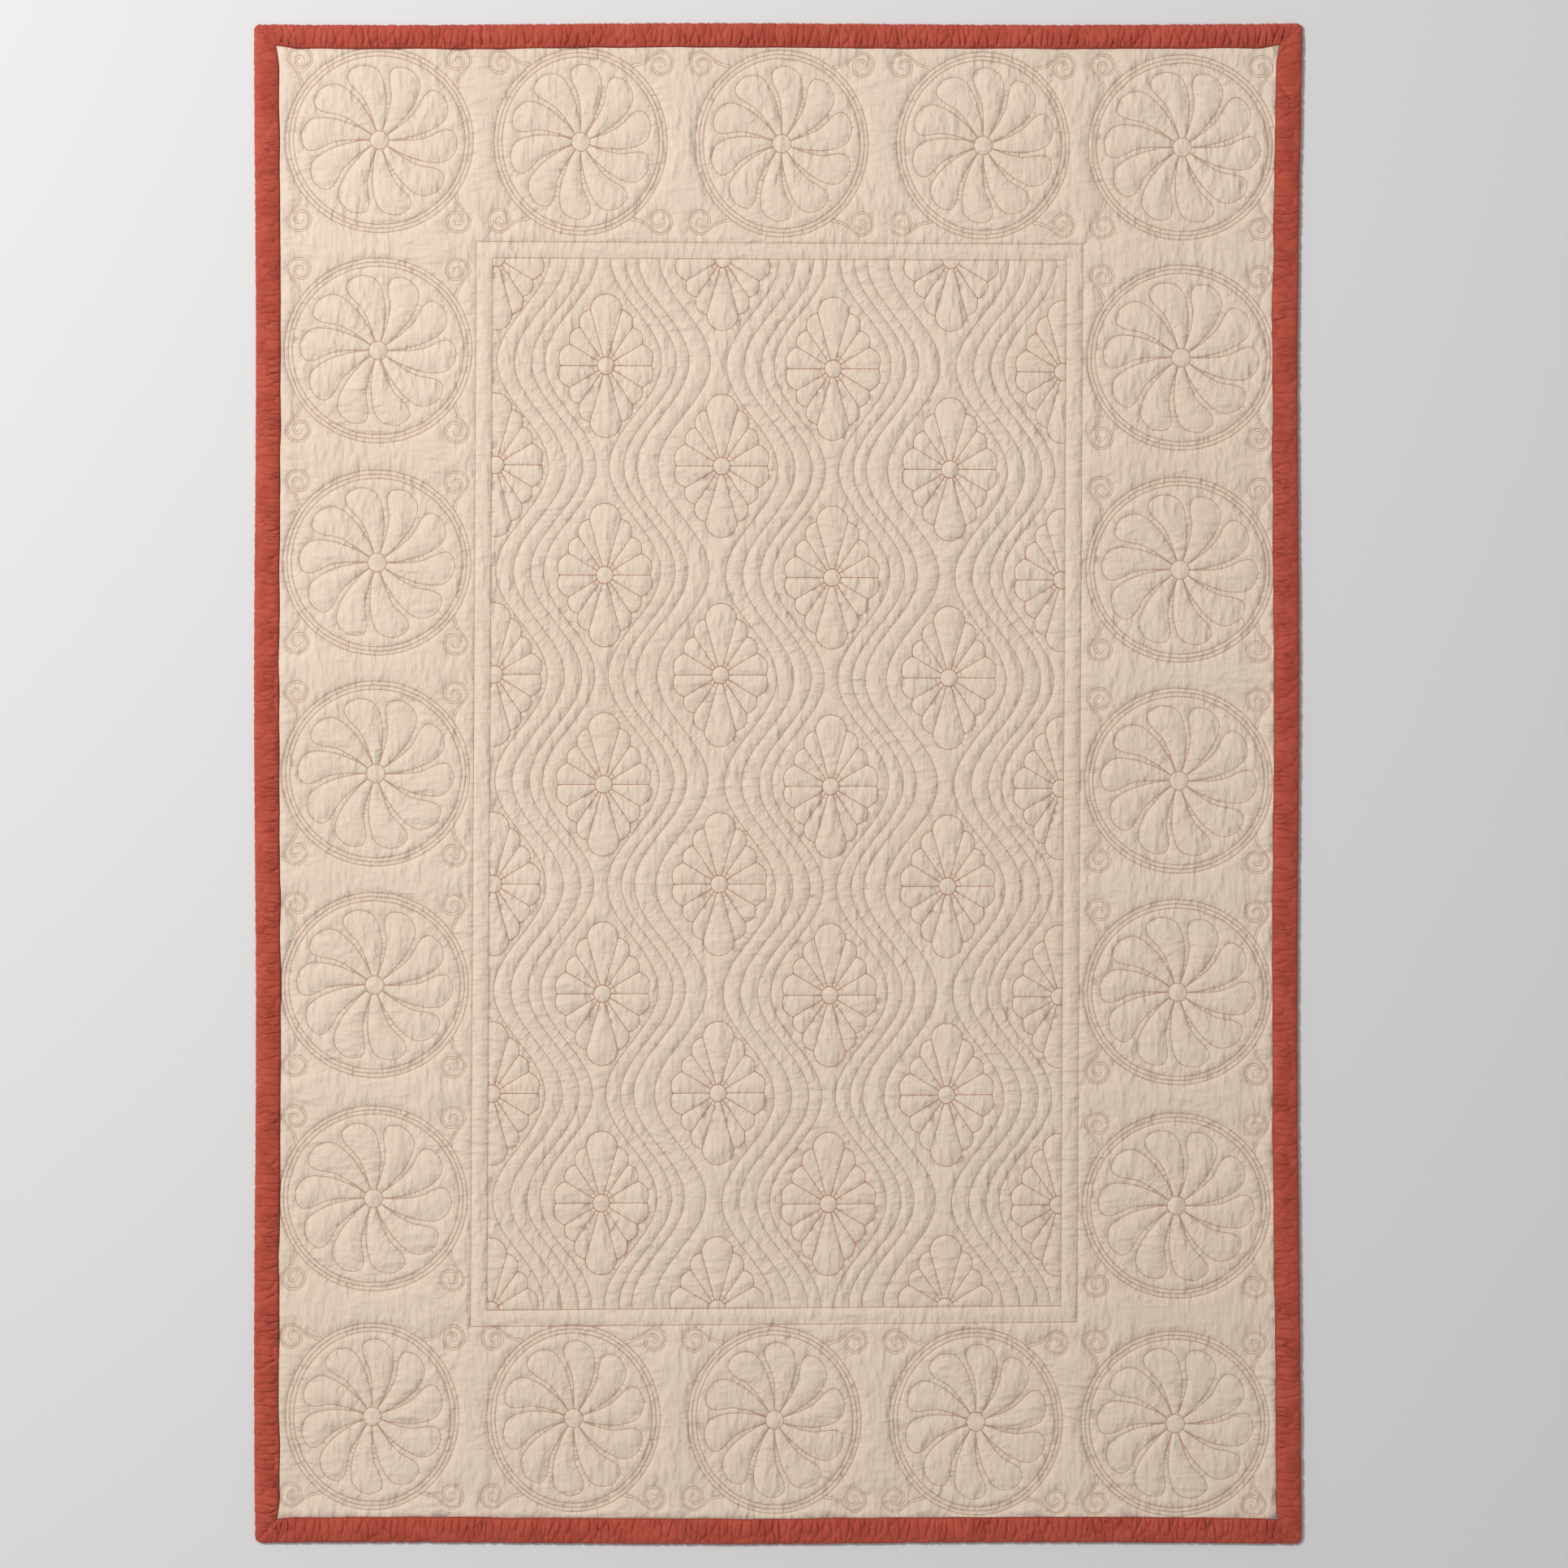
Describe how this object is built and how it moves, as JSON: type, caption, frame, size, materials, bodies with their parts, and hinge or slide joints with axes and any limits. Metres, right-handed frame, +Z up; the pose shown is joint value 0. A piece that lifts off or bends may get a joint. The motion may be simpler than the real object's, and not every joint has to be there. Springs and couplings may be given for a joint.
{
  "type": "bedspread",
  "caption": "Quilted whole-cloth bedspread lying flat, with a border of wheels and scrolls, a framed centre of flowers and waves, and a gathered padded binding.",
  "frame": {"origin": "on the surface the bedspread lies on, under the middle of its outline", "axes": "+X to the right across the width, +Y along the length towards the top edge, +Z up out of the quilted face"},
  "size_m": [1.795, 2.6032, 0.0134],
  "materials": {
    "panel_cotton": "cream cotton, quilted, matt",
    "binding_cotton": "rust-red cotton, gathered and padded, matt",
    "quilting_thread": "rust-red sewing thread"
  },
  "bodies": {
    "root": {"quilted_panel": "panel_cotton", "binding_top": "binding_cotton", "binding_bottom": "binding_cotton", "binding_left": "binding_cotton", "binding_right": "binding_cotton"}
  },
  "joints": []
}
